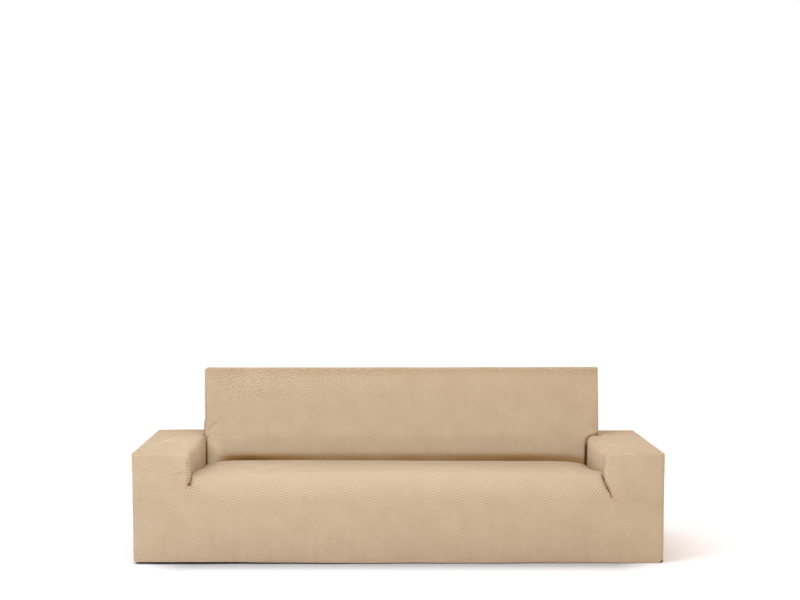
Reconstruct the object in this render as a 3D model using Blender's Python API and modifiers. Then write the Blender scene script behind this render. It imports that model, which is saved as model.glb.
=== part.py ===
"""Fitted stretch slipcover of three-seat size, in the shape it takes in use, in seven sewn panels.

Lengths are in metres. The forms are worked out with the floor at z = 0 and the front of the
arms at y = 0, and an empty then moves them so that the origin is under the top of the back.
"""

import bmesh
import bpy
import numpy as np

# Overall sizes, and the cloth
HALF_WIDTH = 1.213
HEM_TAPER = 0.006
DEPTH = 0.930
HEM_HEIGHT = 0.007
CLOTH = 0.003
SEAM_GAP = 0.0003

# Arms: the inner face stands at ARM_INNER, the top at ARM_TOP
ARM_INNER = 0.944
ARM_TOP = 0.500
ARM_INNER_ROUND = 0.028
ARM_OUTER_ROUND = 0.010
FRONT_ROUND = 0.018
REAR_ROUND = 0.018
SEAM_FLANGE = 0.006
SMALLEST_ROUND = 0.003
REAR_CORNER_GAP = 0.005

# Back: its face leans back, and its top falls a little to the rear
BACK_HALF_WIDTH = 0.976
BACK_FACE_Y = 0.683
BACK_LEAN = 0.11
BACK_TOP_FRONT = 0.836
BACK_TOP_REAR = 0.812
BACK_TOP_ROUND = 0.012
BACK_REAR_ROUND = 0.024
BACK_SIDE_ROUND = 0.014
BACK_BOTTOM_ROUND_HEIGHT = 0.440
BACK_BOTTOM_ROUND_DEPTH = 0.020
BACK_SHIFT = 0.0265

# Seat: its crest behind the rolled front edge, and the tuck at the back
SEAT_CREST = 0.398
SEAT_CROWN = 0.009
ROLL_START = 0.282
ROLL_DEPTH = 0.105
ROLL_DEPTH_AT_ARM = 0.060
SEAT_REAR = 0.386
SEAT_REAR_Y = 0.650
SEAT_CORNER_DROP = 0.024
TUCK_ROLL_Y = 0.684
TUCK_ROLL_DEPTH = 0.020
TUCK_Y = 0.690
TUCK_DEPTH = 0.035

# The slit in the front cloth beside each arm starts at this height
SLITS = {"left": 0.357, "right": 0.292}
SIGNS = {"left": -1.0, "right": 1.0}
DART_SHIFT = 0.032
DART_TOP = 0.372
DART_WIDTH = 0.100

# How far the cloth gives: the bow of the back's face, slack, the hem's waves and the corner folds,
# how much higher the left arm stands at its front and rear, and how far the arms stand to the right
FACE_BOW = 0.012
SEAT_SLACK = 0.003
ARM_SLACK = 0.005
HEM_WAVES = (0.0024, 0.0016)
HEM_DIPS = (0.0016, 0.0010)
CORNER_FOLD = 0.007
LEFT_ARM_RISE = (0.0045, 0.0080)
ARMS_SHIFT = 0.0025

# Grid steps
ARC_STEPS = 4
EDGE_STEPS = 3
ARM_COLUMNS = 4
ARM_FRONT_ROWS = 5
SKIRT_ROWS = 6
SEAT_COLUMNS = 30
ROLL_ROWS = 5
SEAT_ROWS = 8
TUCK_ROWS = 3
ARM_DEPTH_ROWS = 9
ARM_REAR_ROWS = 3
FACE_ROWS = 7
TOP_ROWS = 4

MOUNT_Y = 0.825
COLOUR = (0.62, 0.45, 0.29, 1.0)


def smooth(t):
    t = np.clip(t, 0.0, 1.0)
    return t * t * (3.0 - 2.0 * t)


def bump(x, centre, width):
    return np.exp(-(((x - centre) / width) ** 2))


def seat_fade(x, width):
    """1 beside an arm's inner face, falling to 0 over about this width."""
    return np.exp(-np.maximum(ARM_INNER - np.abs(x), 0.0) / width)


def slit_height(x):
    return np.where(x < 0.0, SLITS["left"], SLITS["right"])


def round_rows(radius):
    """Rows of an edge rounded by a quarter turn, with a flat strip after it for the seam.

    Each row holds how far it lies inside the one face and how far it lies behind the other.
    """
    angle = np.linspace(0.0, np.pi / 2, EDGE_STEPS + 1)
    rows = np.stack([radius * (1.0 - np.sin(angle)), radius * (1.0 - np.cos(angle))], axis=1)
    return np.concatenate([rows, [[0.0, radius + SEAM_FLANGE]]])


def points(*columns):
    return np.stack(np.broadcast_arrays(*columns), axis=-1)


def rounded_path(corners, radii, inset, straight_steps):
    """Points along a line of corners in a plane, moved to its right and rounded at its corners.

    A corner of radius 0 is a single point. A radius shrinks by the inset, so that paths with
    different insets lie parallel and have the same number of points.
    """
    corners = np.array(corners, float)
    along = np.diff(corners, axis=0)
    lengths = np.linalg.norm(along, axis=1, keepdims=True)
    along = along / lengths
    right = np.stack([along[:, 1], -along[:, 0]], axis=1)
    ends = [[corners[0] + inset * right[0]]]
    for i in range(1, len(corners) - 1):
        spread = (right[i - 1] + right[i]) / (1.0 + right[i - 1] @ right[i])
        corner = corners[i] + inset * spread
        if radii[i] == 0.0:
            ends.append([corner])
            continue
        radius = max(radii[i] - inset, SMALLEST_ROUND)
        centre = corner + radius * spread
        turn = np.arccos(right[i - 1] @ right[i])
        arc = []
        for t in np.linspace(0.0, 1.0, ARC_STEPS + 1):
            normal = np.sin((1.0 - t) * turn) * right[i - 1] + np.sin(t * turn) * right[i]
            arc.append(centre - radius * normal / np.sin(turn))
        ends.append(arc)
    ends.append([corners[-1] + inset * right[-1]])
    path = [ends[0][0]]
    for i, steps in enumerate(straight_steps):
        start, stop = ends[i][-1], ends[i + 1][0]
        for t in np.linspace(0.0, 1.0, steps + 1)[1:]:
            path.append(start + (stop - start) * t)
        path.extend(ends[i + 1][1:])
    return np.array(path)


def between(start, stop, steps):
    """Rows from one line of points to another."""
    t = np.linspace(0.0, 1.0, steps + 1)[:, None, None]
    return start + (stop - start) * t


def coons(bottom, top, left, right):
    """The patch that blends its four border lines."""
    u = np.linspace(0.0, 1.0, len(bottom))[None, :, None]
    v = np.linspace(0.0, 1.0, len(left))[:, None, None]
    across = left[:, None] * (1 - u) + right[:, None] * u
    upward = bottom[None] * (1 - v) + top[None] * v
    low = bottom[0] * (1 - u) + bottom[-1] * u
    high = top[0] * (1 - u) + top[-1] * u
    return across + upward - low * (1 - v) - high * v


def on_side(patch, sign):
    """A patch of the +X side, or its mirror image, with its faces still pointing out."""
    if sign > 0:
        return patch
    return (patch * [-1.0, 1.0, 1.0])[:, ::-1]


# The arms

def arm_path(inner_end, outer_end, inset, inner_steps, outer_steps):
    """An arm's section in X and Z, up its inner face, over the top and down the outer side."""
    corners = [
        (ARM_INNER, inner_end),
        (ARM_INNER, ARM_TOP),
        (HALF_WIDTH, ARM_TOP),
        (HALF_WIDTH, outer_end),
    ]
    radii = [0.0, ARM_INNER_ROUND, ARM_OUTER_ROUND, 0.0]
    steps = [inner_steps, ARM_COLUMNS, outer_steps]
    if outer_end > HEM_HEIGHT:
        corners.append((HALF_WIDTH, HEM_HEIGHT))
        radii.append(0.0)
        steps.append(SKIRT_ROWS)
    return rounded_path(corners, radii, inset, steps)


def arm_top_height(y):
    """The height of an arm's top beside the back, which rounds down at the rear."""
    rear = np.clip(y - (DEPTH - REAR_ROUND), 0.0, REAR_ROUND)
    return ARM_TOP - (REAR_ROUND - np.sqrt(REAR_ROUND**2 - rear**2))


# The back

def back_face_y(z):
    return BACK_FACE_Y + BACK_LEAN * (z - ARM_TOP)


def back_half_width(y):
    """Half the width of the back just above the arms, where it rounds in at the rear."""
    rear = np.clip(y - (DEPTH - BACK_SIDE_ROUND), 0.0, BACK_SIDE_ROUND)
    return BACK_HALF_WIDTH - (BACK_SIDE_ROUND - np.sqrt(BACK_SIDE_ROUND**2 - rear**2))


def face_half_width(z):
    """Half the width of the back's face, between the arms and above their rounded edges."""
    rise = np.clip(z - (ARM_TOP - ARM_INNER_ROUND), 0.0, ARM_INNER_ROUND)
    between_arms = ARM_INNER + ARM_INNER_ROUND - np.sqrt(ARM_INNER_ROUND**2 - rise**2) - 2 * SEAM_GAP
    return np.where(z > ARM_TOP, BACK_HALF_WIDTH, between_arms)


def back_path(start, end, inset, face_steps, rear_steps):
    """The back's section in Y and Z, up its face, over the top and down the rear."""
    corners = [
        (back_face_y(start), start),
        (back_face_y(BACK_TOP_FRONT), BACK_TOP_FRONT),
        (DEPTH, BACK_TOP_REAR),
        (DEPTH, end),
    ]
    radii = [0.0, BACK_TOP_ROUND, BACK_REAR_ROUND, 0.0]
    return rounded_path(corners, radii, inset, [face_steps, TOP_ROWS, rear_steps])


# The seat

def seat_columns():
    """Places across the seat, closer together beside the arms."""
    t = np.linspace(-1.0, 1.0, SEAT_COLUMNS + 1)
    return ARM_INNER * (t + 0.08 * np.sin(np.pi * t))


def skirt_top(x):
    """The height where the skirt ends and the roll of the seat's front begins."""
    end = slit_height(x)
    return ROLL_START + (end - ROLL_START) * seat_fade(x, 0.055)


def dimple(x):
    """How far the cloth is drawn in at the foot of a slit."""
    x = np.abs(x)
    inside = np.exp(-np.maximum(ARM_INNER - x, 0.0) / 0.016)
    outside = np.clip((x - ARM_INNER) / FRONT_ROUND, 0.0, 1.0)
    return FRONT_ROUND * inside * (1.0 - np.sqrt(1.0 - (1.0 - outside) ** 2))


def seat_crest(x):
    return SEAT_CREST + SEAT_CROWN * (1.0 - (x / ARM_INNER) ** 2)


def seat_rear(x):
    return SEAT_REAR - SEAT_CORNER_DROP * seat_fade(x, 0.050)


def seat_rows(x):
    """The seat's patch: the roll, the top and the tuck, as rows across it."""
    start_y, start_z = dimple(x), skirt_top(x)
    crest_z, rear_z = seat_crest(x), seat_rear(x)
    roll_y = ROLL_DEPTH + (ROLL_DEPTH_AT_ARM - ROLL_DEPTH) * seat_fade(x, 0.08)
    rows = [points(x, start_y, start_z)]
    x = x * (1.0 - 2 * SEAM_GAP / ARM_INNER)
    for angle in np.linspace(0.0, np.pi / 2, ROLL_ROWS + 1)[1:]:
        y = start_y + (roll_y - start_y) * (1.0 - np.cos(angle))
        rows.append(points(x, y, start_z + (crest_z - start_z) * np.sin(angle)))
    for t in np.linspace(0.0, 1.0, SEAT_ROWS + 1)[1:]:
        z = crest_z + (rear_z - crest_z) * smooth(t)
        rows.append(points(x, roll_y + (SEAT_REAR_Y - roll_y) * t, z))
    for angle in np.linspace(0.0, np.pi / 2, TUCK_ROWS + 1)[1:]:
        y = SEAT_REAR_Y + (TUCK_ROLL_Y - SEAT_REAR_Y) * np.sin(angle)
        rows.append(points(x, y, rear_z - TUCK_ROLL_DEPTH * (1.0 - np.cos(angle))))
    rows.append(points(x, TUCK_Y, rear_z - TUCK_DEPTH))
    return np.array(rows)


# How the cloth gives: one smooth field moves every panel, so that the seams stay together

def shift_back(x, y, z):
    """How far the back's shift to the right moves a place in X and Z.

    Cloth that lies on an arm slides round the arm's inner edge and along its top.
    """
    sign, out = np.where(x < 0.0, -1.0, 1.0), np.abs(x)
    radius = ARM_INNER_ROUND
    centre_x, centre_z = ARM_INNER + radius, ARM_TOP - radius
    quarter = radius * np.pi / 2
    end_x = BACK_HALF_WIDTH + sign * BACK_SHIFT
    end_angle = np.arccos(np.clip((centre_x - end_x) / radius, 0.0, 1.0))
    start = quarter + BACK_HALF_WIDTH - centre_x
    end = radius * end_angle + np.maximum(end_x - centre_x, 0.0)
    # How far along the arm's section the place lies, and how far above it
    inside, rise = np.maximum(centre_x - out, 0.0), np.maximum(z - centre_z, 0.0)
    along = np.where(inside > 0.0, radius * np.arctan2(rise, inside), quarter + out - centre_x)
    above = np.hypot(inside, rise)
    share = np.where(along < start, along / start, smooth((start + 0.16 - along) / 0.16))
    near = smooth((y - 0.30) / 0.35) * smooth((0.905 - y) / 0.14)
    slid = along + (end - start) * share * near
    angles = [np.clip(place / radius, 0.0, np.pi / 2) for place in (along, slid)]
    tops = [np.maximum(place - quarter, 0.0) for place in (along, slid)]
    slide_x = above * (np.cos(angles[0]) - np.cos(angles[1])) + tops[1] - tops[0]
    slide_z = above * (np.sin(angles[1]) - np.sin(angles[0]))
    # Cloth that is clear of the arms moves sideways, and keeps off the edge it moves towards
    rounded = 1.0 - np.sqrt(1.0 - np.clip(rise / radius, 0.0, 1.0) ** 2)
    to_right = smooth((x + 0.90) / 1.80)
    free = rounded + (smooth((z - ARM_TOP + 0.006) / 0.03) - rounded) * to_right
    free_x = sign * BACK_SHIFT * free * smooth((1.16 - out) / 0.16) * near
    drop = radius * (np.sin(end_angle) - 1.0) * smooth((out - 0.93) / 0.04)
    free_z = drop * smooth((ARM_TOP + 0.10 - z) / 0.10) * smooth(rise / 0.03) * near
    resting = smooth((0.0095 - (above - radius)) / 0.008)
    move_x = sign * (slide_x * resting + free_x * (1.0 - resting))
    return move_x, slide_z * resting + free_z * (1.0 - resting)


def settle(p):
    x, y, z = p[..., 0], p[..., 1], p[..., 2]
    front = 1.0 - smooth(y / 0.12)
    dart = smooth((DART_TOP - z) / 0.08) * smooth((z - 0.10) / 0.12)
    move_x = DART_SHIFT * dart * bump(x, ARM_INNER, DART_WIDTH) * front
    # The face of the back bows forward
    face = smooth((0.80 - y) / 0.08) * smooth((z - 0.42) / 0.10) * smooth((0.83 - z) / 0.12)
    bow = face * smooth((0.97 - np.abs(x)) / 0.30) * smooth((y - 0.60) / 0.05)
    move_y = -FACE_BOW * bow
    # Slack in the seat and in the arm tops
    on_seat = smooth((0.64 - y) / 0.10) * smooth((y - 0.10) / 0.10) * smooth((0.93 - np.abs(x)) / 0.10)
    move_z = SEAT_SLACK * on_seat * np.sin(7.1 * x + 0.6) * smooth((z - 0.32) / 0.04)
    on_arm = bump(np.abs(x), 1.075, 0.075) * smooth((z - 0.47) / 0.03)
    move_z = move_z + ARM_SLACK * on_arm * smooth((0.50 - np.abs(y - 0.46)) / 0.2)
    # The skirt hangs in shallow waves and its hem is not quite level
    low = 1.0 - smooth((z - HEM_HEIGHT) / 0.16)
    wave = HEM_WAVES[0] * np.sin(9.0 * x + 1.1) + HEM_WAVES[1] * np.sin(23.0 * x)
    at_front = 1.0 - smooth((y - 0.02) / 0.2)
    move_y = move_y + low * wave * at_front * smooth((1.17 - np.abs(x)) / 0.08)
    dip = HEM_DIPS[0] * np.sin(4.1 * x - 0.5) + HEM_DIPS[1] * np.sin(11.0 * y + 3.0 * x)
    move_z = move_z + low * dip
    # Folds drawn from the lower corners of the back
    for sign in SIGNS.values():
        reach = bump(x, sign * 0.955, 0.060) * bump(z, 0.545, 0.060)
        slant = (z - 0.50) - 0.9 * (0.97 - sign * x)
        fold = reach * bump(slant, 0.012, 0.014) * smooth((0.78 - y) / 0.06) * smooth((y - 0.60) / 0.05)
        move_y = move_y + CORNER_FOLD * fold
    # The back stands a little to the right
    shift_x, shift_z = shift_back(x, y, z)
    move_x, move_z = move_x + shift_x, move_z + shift_z
    # The left arm stands a little higher, and both arms a little to the right
    raised = smooth((-0.88 - x) / 0.06) * smooth((z - 0.36) / 0.13) * smooth((0.62 - z) / 0.11)
    move_z = move_z + raised * np.interp(y, (0.0, DEPTH), LEFT_ARM_RISE)
    move_x = move_x + ARMS_SHIFT * smooth((np.abs(x) - 0.95) / 0.20)
    # The outer sides lean in a little towards the hem
    move_x = move_x - HEM_TAPER * (1.0 - z / ARM_TOP) * x / HALF_WIDTH * (z < ARM_TOP)
    return points(x + move_x, y + move_y, z + move_z)


# The panels, each as patches of points

def skirt_patch(seat_x):
    """The skirt across the whole front, up to the slits and the roll."""
    left = arm_front_bottom()[::-1] * -1.0
    strip = ARM_INNER + round_rows(FRONT_ROUND)[1:-2, 0]
    x = np.concatenate([left, -strip, seat_x, strip[::-1], arm_front_bottom()])
    top = skirt_top(x)
    rows = []
    for t in np.linspace(0.0, 1.0, SKIRT_ROWS + 1):
        z = HEM_HEIGHT + (top - HEM_HEIGHT) * t
        y = dimple(x) * smooth(1.0 - (top - z) / 0.06)
        rows.append(points(x, y, z))
    return np.array(rows)


def arm_front_bottom():
    columns = ARM_COLUMNS + ARC_STEPS
    return np.linspace(ARM_INNER + FRONT_ROUND, HALF_WIDTH - FRONT_ROUND, columns + 1)


def arm_front_patches(side):
    """The flat front of an arm above its slit's foot, and the rounded edge round it."""
    slit = SLITS[side]
    strip = []
    for inset, setback in round_rows(FRONT_ROUND):
        path = arm_path(slit, slit, inset, ARM_FRONT_ROWS, ARM_FRONT_ROWS)
        strip.append(points(path[:, 0], setback, path[:, 1]))
    strip = np.array(strip)
    edge = strip[0]
    side_points = ARM_FRONT_ROWS + ARC_STEPS // 2 + 1
    top_points = ARM_COLUMNS + ARC_STEPS + 1
    inner = edge[:side_points]
    top = edge[side_points - 1 : side_points - 1 + top_points]
    shoulder = side_points + top_points - 2
    outer = edge[shoulder : shoulder + side_points][::-1]
    bottom = points(np.linspace(inner[0, 0], outer[0, 0], top_points), 0.0, slit)
    return coons(bottom, top, inner, outer), strip


def front_seat_patches():
    seat_x = seat_columns()
    skirt = skirt_patch(seat_x)
    patches = [skirt, seat_rows(seat_x)]
    for side, sign in SIGNS.items():
        face, strip = arm_front_patches(side)
        patches += [on_side(face, sign), on_side(strip, sign)]
    return patches


def arm_patches(side):
    """Inner face, top and outer side of an arm, then its rear part beside the back."""
    seat = seat_rows(np.array([SIGNS[side] * ARM_INNER]))[:, 0]
    front_y = FRONT_ROUND + SEAM_FLANGE + 3 * SEAM_GAP
    inner_steps, outer_steps = ARM_FRONT_ROWS, ARM_FRONT_ROWS + 2
    side_tuck = BACK_SIDE_ROUND + SEAM_FLANGE
    rows = []
    for t in np.linspace(0.0, 1.0, ARM_DEPTH_ROWS + 1) ** 1.25:
        low_y = front_y + (back_face_y(0.37) + side_tuck - front_y) * t
        low_z = np.interp(low_y, seat[:, 1], seat[:, 2]) + 3 * SEAM_GAP
        path = arm_path(low_z, HEM_HEIGHT, 0.0, inner_steps, outer_steps)
        x, z = path[:, 0], path[:, 1]
        tuck = side_tuck * smooth((ARM_TOP - 0.003 - z) / 0.05) * (x < 1.0)
        face = np.where(x < 1.0, back_face_y(z), BACK_FACE_Y)
        rows.append(points(x, front_y + (face + tuck - front_y) * t, z))
    front = np.array(rows)
    # Beside the back the cloth starts at the foot of its end piece
    first = inner_steps + ARC_STEPS
    depths = [(0.0, y) for y in np.linspace(BACK_FACE_Y, DEPTH - REAR_ROUND, ARM_REAR_ROWS + 1)]
    depths += [(inset, DEPTH - setback) for setback, inset in round_rows(REAR_ROUND)[1:]]
    rows = []
    for inset, y in depths:
        path = arm_path(0.40, HEM_HEIGHT, inset, inner_steps, outer_steps)[first:]
        if y > BACK_FACE_Y:
            path[0, 0] = back_half_width(y) + (SEAM_GAP if inset == 0.0 else REAR_CORNER_GAP)
        path[-1, 1] = HEM_HEIGHT
        rows.append(points(path[:, 0], y, path[:, 1]))
    return [on_side(front, SIGNS[side]), on_side(np.array(rows), SIGNS[side])]


def back_section(x, inset):
    """One column of the inside back, up from the tuck: its Y and Z, moved in by the inset."""
    tuck_z = seat_rear(x) - TUCK_DEPTH
    angle = np.linspace(0.0, np.pi / 2, 5)[:-1]
    low_z = BACK_BOTTOM_ROUND_HEIGHT - (BACK_BOTTOM_ROUND_HEIGHT - tuck_z) * np.cos(angle)
    low_y = back_face_y(BACK_BOTTOM_ROUND_HEIGHT) + BACK_BOTTOM_ROUND_DEPTH * (1.0 - np.sin(angle))
    beside_round = ARM_TOP - ARM_INNER_ROUND * (1.0 - np.sin(np.linspace(0.0, np.pi / 2, ARC_STEPS + 1)))
    top_of_face = BACK_TOP_FRONT - 2 * BACK_TOP_ROUND
    above = np.linspace(ARM_TOP + 0.001, top_of_face, FACE_ROWS + 1)
    face_z = np.concatenate([[BACK_BOTTOM_ROUND_HEIGHT], beside_round, above])
    face = points(back_face_y(face_z) + inset, face_z)
    end = BACK_TOP_REAR - BACK_REAR_ROUND - SEAM_FLANGE
    over = back_path(top_of_face, end, inset, 1, 1)
    return np.concatenate([points(low_y + inset, low_z), face[:-1], over])


def back_patches():
    """The inside back from the tuck up and over the top, turned back round its sides."""
    flat = seat_columns() / ARM_INNER
    edge = round_rows(BACK_SIDE_ROUND)[1:]
    columns = [(-1.0, behind, inset) for behind, inset in edge[::-1]]
    columns += [(t, BACK_SIDE_ROUND, 0.0) for t in flat]
    columns += [(1.0, behind, inset) for behind, inset in edge]
    patch = []
    for t, behind, inset in columns:
        section = back_section(t * ARM_INNER, inset)
        y, z = section[:, 0], section[:, 1]
        patch.append(points(t * (face_half_width(z) - behind), y, z))
    return [np.array(patch).transpose(1, 0, 2)]


def back_side_patches(side):
    """The end of the back above the arm."""
    inset = BACK_SIDE_ROUND + SEAM_FLANGE + 2 * SEAM_GAP
    path = back_path(ARM_TOP + SEAM_GAP, ARM_TOP + SEAM_GAP, inset, ARM_FRONT_ROWS, ARM_FRONT_ROWS)
    path[[0, -1], 1] = ARM_TOP + SEAM_GAP
    edge = points(BACK_HALF_WIDTH, path[:, 0], path[:, 1])
    shoulder = ARM_FRONT_ROWS + ARC_STEPS // 2
    top = edge[shoulder : len(edge) - shoulder]
    front, rear = edge[: shoulder + 1], edge[len(edge) - shoulder - 1 :][::-1]
    bottom = between(edge[:1], edge[-1:], len(top) - 1)[:, 0]
    return [on_side(coons(bottom, top, front, rear), SIGNS[side])]


def rear_patches():
    """The outside back: up to the arm tops, then above them with its sides turned forward."""
    half = BACK_HALF_WIDTH - BACK_SIDE_ROUND
    inset = REAR_ROUND + SEAM_FLANGE + SEAM_GAP
    path = arm_path(0.40, HEM_HEIGHT, inset, 2, ARM_FRONT_ROWS + 2)[2 + ARC_STEPS :]
    path[0, 0] = half
    path[-1, 1] = HEM_HEIGHT
    shoulder = ARM_COLUMNS + ARC_STEPS // 2
    side = points(path[shoulder:, 0], DEPTH, path[shoulder:, 1])[::-1]
    arm_top = points(path[: shoulder + 1, 0], DEPTH, path[: shoulder + 1, 1])
    middle = between(arm_top[:1], arm_top[:1] * [-1.0, 1.0, 1.0], 2 * ARM_COLUMNS + 2)[:, 0]
    top = np.concatenate([arm_top[::-1], middle[1:-1], arm_top * [-1.0, 1.0, 1.0]])
    bottom = between(side[:1], side[:1] * [-1.0, 1.0, 1.0], len(top) - 1)[:, 0]
    lower = coons(bottom, top, side, side * [-1.0, 1.0, 1.0])

    base = []
    for behind, inset in round_rows(BACK_SIDE_ROUND)[:0:-1]:
        y = DEPTH - inset
        base.append((BACK_HALF_WIDTH - behind, y, arm_top_height(y) + 4 * SEAM_GAP))
    base = np.array(base)
    base = np.concatenate([base, middle, (base * [-1.0, 1.0, 1.0])[::-1]])
    crown = base.copy()
    crown[:, 2] = BACK_TOP_REAR - BACK_REAR_ROUND - SEAM_FLANGE - SEAM_GAP
    return [lower, between(base, crown, 4)]


def cloth_material():
    material = bpy.data.materials.new("cover_cloth")
    material.use_nodes = True
    shader = material.node_tree.nodes["Principled BSDF"]
    shader.inputs["Base Color"].default_value = COLOUR
    shader.inputs["Roughness"].default_value = 0.95
    shader.inputs["Metallic"].default_value = 0.0
    return material


def add_panel(name, patches, parent, collection):
    """One panel: its patches as one open sheet on the cloth's outer side, thickened inwards."""
    sheet = bmesh.new()
    for patch in patches:
        patch = settle(patch)
        rows, columns = patch.shape[:2]
        grid = [[sheet.verts.new(patch[i, j]) for j in range(columns)] for i in range(rows)]
        for i in range(rows - 1):
            for j in range(columns - 1):
                sheet.faces.new((grid[i][j], grid[i][j + 1], grid[i + 1][j + 1], grid[i + 1][j]))
    bmesh.ops.remove_doubles(sheet, verts=sheet.verts, dist=0.00005)
    mesh = bpy.data.meshes.new(name)
    sheet.to_mesh(mesh)
    sheet.free()
    mesh.shade_smooth()
    mesh.materials.append(cloth_material())
    panel = bpy.data.objects.new(name, mesh)
    panel.parent = parent
    collection.objects.link(panel)
    shell = panel.modifiers.new("cloth", "SOLIDIFY")
    shell.thickness = CLOTH
    shell.offset = -1.0
    return panel


def main():
    for old in list(bpy.data.objects):
        bpy.data.objects.remove(old)
    collection = bpy.data.collections.new("sofa_slipcover")
    bpy.context.scene.collection.children.link(collection)

    underside = back_path(ARM_TOP, ARM_TOP, CLOTH, 1, 1)[2 : 2 + ARC_STEPS + TOP_ROWS]
    mount_z = float(np.interp(MOUNT_Y, underside[:, 0], underside[:, 1]))
    floor = bpy.data.objects.new("floor_level", None)
    floor.location = (0.0, -MOUNT_Y, -mount_z)
    collection.objects.link(floor)

    add_panel("front_seat_panel", front_seat_patches(), floor, collection)
    for side in SIGNS:
        add_panel(f"arm_panel_{side}", arm_patches(side), floor, collection)
    add_panel("back_panel", back_patches(), floor, collection)
    for side in SIGNS:
        add_panel(f"back_side_{side}", back_side_patches(side), floor, collection)
    add_panel("rear_panel", rear_patches(), floor, collection)


main()
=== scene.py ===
import bmesh
import bpy
import numpy as np
from mathutils import Euler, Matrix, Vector


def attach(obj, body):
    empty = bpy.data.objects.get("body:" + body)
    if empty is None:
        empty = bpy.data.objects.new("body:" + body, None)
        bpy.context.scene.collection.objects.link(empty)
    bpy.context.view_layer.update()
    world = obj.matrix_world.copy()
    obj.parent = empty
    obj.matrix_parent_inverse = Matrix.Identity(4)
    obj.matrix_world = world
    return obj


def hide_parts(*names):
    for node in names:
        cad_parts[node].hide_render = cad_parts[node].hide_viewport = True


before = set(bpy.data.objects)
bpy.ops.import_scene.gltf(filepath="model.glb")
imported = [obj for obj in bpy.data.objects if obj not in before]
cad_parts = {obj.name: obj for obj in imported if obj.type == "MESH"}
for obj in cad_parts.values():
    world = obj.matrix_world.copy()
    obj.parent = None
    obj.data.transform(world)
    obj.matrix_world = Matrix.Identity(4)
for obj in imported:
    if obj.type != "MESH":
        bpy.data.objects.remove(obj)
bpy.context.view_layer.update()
print("frame loaded")

# Lengths are in metres. Forms are worked out with the floor at z = 0 and the arm fronts at
# y = 0, and moved by heldAt at the end, to the point under the top that holds the cover up.
cover = {
    "halfWidth": 1.213,
    "depth": 0.93,
    "hemHeight": 0.007,
    "hemTaper": 0.006,
    "clothThickness": 0.0022,
    "seamGap": 0.0003,
    "weld": 0.00004,
    "heldAt": (0.0, 0.825, 0.820978),
}
sides = {"left": -1.0, "right": 1.0}


# Small tools. An effect, for act, is a dictionary that says by how much it works and where. A
# fade is an axis, a place and a length: the effect comes in from that place over that length,
# towards lower values where it is negative. A bump is an axis, a centre and a width, and a wave
# is a height, its turns along x, y and z, and its start. "out" is the distance from the middle.

def smooth(t):
    t = np.clip(t, 0.0, 1.0)
    return t * t * (3.0 - 2.0 * t)


def bump(x, centre, width):
    return np.exp(-(((x - centre) / width) ** 2))


def points(*columns):
    return np.stack(np.broadcast_arrays(*columns), axis=-1)


def between(start, stop, steps):
    t = np.linspace(0.0, 1.0, steps + 1)[:, None, None]
    return start + (stop - start) * t


def coons(bottom, top, left, right):  # the patch that blends its four border lines
    u = np.linspace(0.0, 1.0, len(bottom))[None, :, None]
    v = np.linspace(0.0, 1.0, len(left))[:, None, None]
    across = left[:, None] * (1 - u) + right[:, None] * u
    upward = bottom[None] * (1 - v) + top[None] * v
    low = bottom[0] * (1 - u) + bottom[-1] * u
    high = top[0] * (1 - u) + top[-1] * u
    return across + upward - low * (1 - v) - high * v


def lengthsAlong(line):  # running length of a line of points
    steps = np.linalg.norm(np.diff(line, axis=0), axis=-1)
    return np.concatenate([np.zeros_like(steps[:1]), np.cumsum(steps, axis=0)])


def onSide(patch, sign):  # patches are (points, cloth) pairs; the left side is mirrored
    shape, cloth = patch
    if sign > 0:
        return shape, cloth
    return (shape * [-1.0, 1.0, 1.0])[:, ::-1], (cloth * [-1.0, 1.0])[:, ::-1]


def act(p, effect):
    places = {"x": p[..., 0], "out": np.abs(p[..., 0]), "y": p[..., 1], "z": p[..., 2]}
    share = effect.get("by", 1.0)
    for axis, start, over in effect.get("fades", []):
        share = share * smooth((places[axis] - start) / over)
    for axis, centre, width in effect.get("bumps", []):
        share = share * bump(places[axis], centre, width)
    if "waves" in effect:
        share = share * sum(
            high * np.sin(p @ np.array(turns) + start) for high, turns, start in effect["waves"]
        )
    return share


# Rounded edges

edgeRound = {"steps": 6, "flange": 0.006, "cornerSteps": 8, "smallest": 0.003}


def roundRows(radius):  # how far inside one face and behind the other each row lies
    angle = np.linspace(0.0, np.pi / 2, edgeRound["steps"] + 1)
    rows = np.stack([radius * (1.0 - np.sin(angle)), radius * (1.0 - np.cos(angle))], axis=1)
    return np.concatenate([rows, [[0.0, radius + edgeRound["flange"]]]])


def roundedPath(corners, radii, inset, straightSteps):
    corners = np.array(corners, float)
    along = np.diff(corners, axis=0)
    along = along / np.linalg.norm(along, axis=1, keepdims=True)
    right = np.stack([along[:, 1], -along[:, 0]], axis=1)
    ends = [[corners[0] + inset * right[0]]]
    for i in range(1, len(corners) - 1):
        spread = (right[i - 1] + right[i]) / (1.0 + right[i - 1] @ right[i])
        corner = corners[i] + inset * spread
        if radii[i] == 0.0:
            ends.append([corner])
            continue
        radius = max(radii[i] - inset, edgeRound["smallest"])
        centre = corner + radius * spread
        turn = np.arccos(right[i - 1] @ right[i])
        arc = []
        for t in np.linspace(0.0, 1.0, edgeRound["cornerSteps"] + 1):
            normal = np.sin((1.0 - t) * turn) * right[i - 1] + np.sin(t * turn) * right[i]
            arc.append(centre - radius * normal / np.sin(turn))
        ends.append(arc)
    ends.append([corners[-1] + inset * right[-1]])
    path = [ends[0][0]]
    for i, steps in enumerate(straightSteps):
        start, stop = ends[i][-1], ends[i + 1][0]
        for t in np.linspace(0.0, 1.0, steps + 1)[1:]:
            path.append(start + (stop - start) * t)
        path.extend(ends[i + 1][1:])
    return np.array(path)


# The arms

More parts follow.
